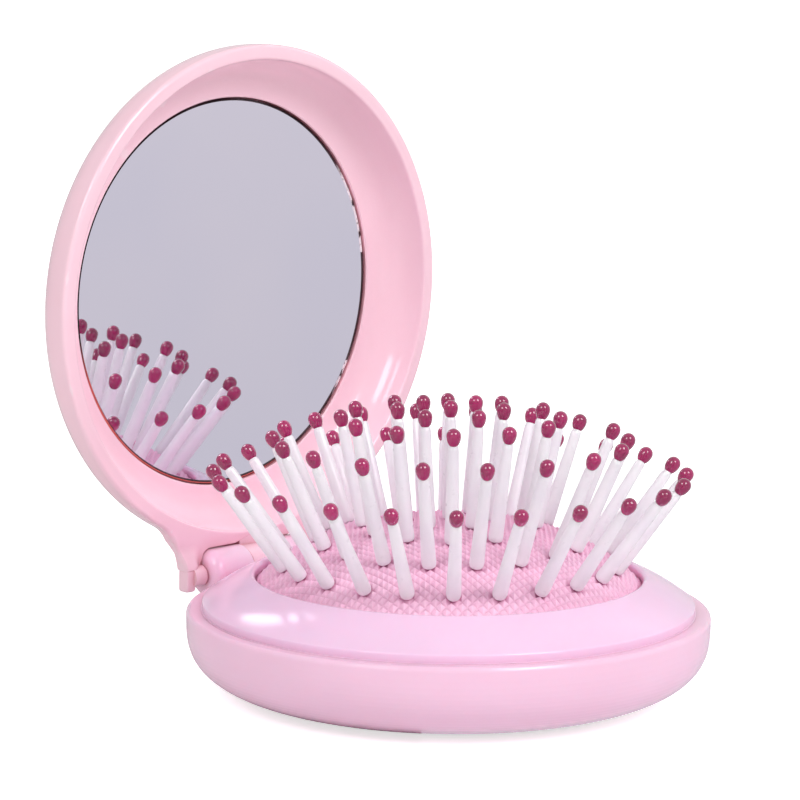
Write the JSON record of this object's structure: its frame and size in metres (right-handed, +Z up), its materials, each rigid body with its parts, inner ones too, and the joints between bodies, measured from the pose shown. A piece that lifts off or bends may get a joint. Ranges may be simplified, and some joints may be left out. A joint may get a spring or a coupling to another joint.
{
  "type": "folding hairbrush with mirror",
  "caption": "Round pocket hairbrush: a domed rubber pad with ball-tipped bristles pops out of a dish base, under a hinged lid that holds a mirror.",
  "frame": {"origin": "centre of the round base on the surface that it stands on", "axes": "+Z up, hinge and open lid on the +Y side, user on the -Y side, +X to the user's right"},
  "size_m": [0.07, 0.0819, 0.0843],
  "materials": {
    "case_plastic": "glossy, slightly translucent pink moulding",
    "frame_plastic": "glossy lavender-pink moulding",
    "inner_plastic": "plain moulded, hidden",
    "pin_steel": "drawn wire",
    "lid_plastic": "glossy, slightly translucent pink moulding",
    "mirror_silver": "plain silvered mirror",
    "adhesive_foam": "thin double-sided tape, hidden",
    "pad_rubber": "soft satin rubber with a fine pyramid grain",
    "button_plastic": "glossy pink moulding",
    "bristle_nylon": "milky translucent nylon",
    "tip_resin": "glossy dark magenta resin bead"
  },
  "bodies": {
    "base": {"base_shell": "case_plastic", "frame_ring": "frame_plastic", "pad_clamp_ring": "inner_plastic", "hinge_pin": "pin_steel"},
    "lid": {"lid_shell": "lid_plastic", "mirror_glass": "mirror_silver", "mirror_adhesive": "adhesive_foam"},
    "button": {"push_button": "button_plastic", "pin_centre": "bristle_nylon", "pins_inner": "bristle_nylon", "pins_third": "bristle_nylon", "pins_second": "bristle_nylon", "tip_centre": "tip_resin", "tips_inner": "tip_resin", "tips_third": "tip_resin", "tips_second": "tip_resin"},
    "outer_bristles": {"pins_outer": "bristle_nylon", "tips_outer": "tip_resin"},
    "pad": {"bristle_pad": "pad_rubber"}
  },
  "joints": [
    {"name": "lid_hinge", "type": "hinge", "parent": "base", "child": "lid", "pos_m": [0, 0.038, 0.01128], "axis": [1, 0, 0], "range_deg": [0, 89.3]},
    {"name": "button_push", "type": "slide", "parent": "base", "child": "button", "axis": [0, 0, -1], "range_m": [0, 0.0195], "deforming": ["pin_centre", "pins_inner", "pins_third", "pins_second", "tip_centre", "tips_inner", "tips_third", "tips_second"]},
    {"name": "outer_bristle_sink", "type": "slide", "parent": "base", "child": "outer_bristles", "axis": [0, 0, -1], "range_m": [0, 0.0145], "deforming": ["pins_outer", "tips_outer"]},
    {"name": "pad_sink", "type": "slide", "parent": "base", "child": "pad", "axis": [0, 0, -1], "range_m": [0, 0.01], "deforming": ["bristle_pad"]}
  ],
  "couplings": [
    {"joint": "button_push", "follows": "lid_hinge", "m_per_rad": 0.012511},
    {"joint": "outer_bristle_sink", "follows": "lid_hinge", "m_per_rad": 0.009303},
    {"joint": "pad_sink", "follows": "lid_hinge", "m_per_rad": 0.006416}
  ]
}
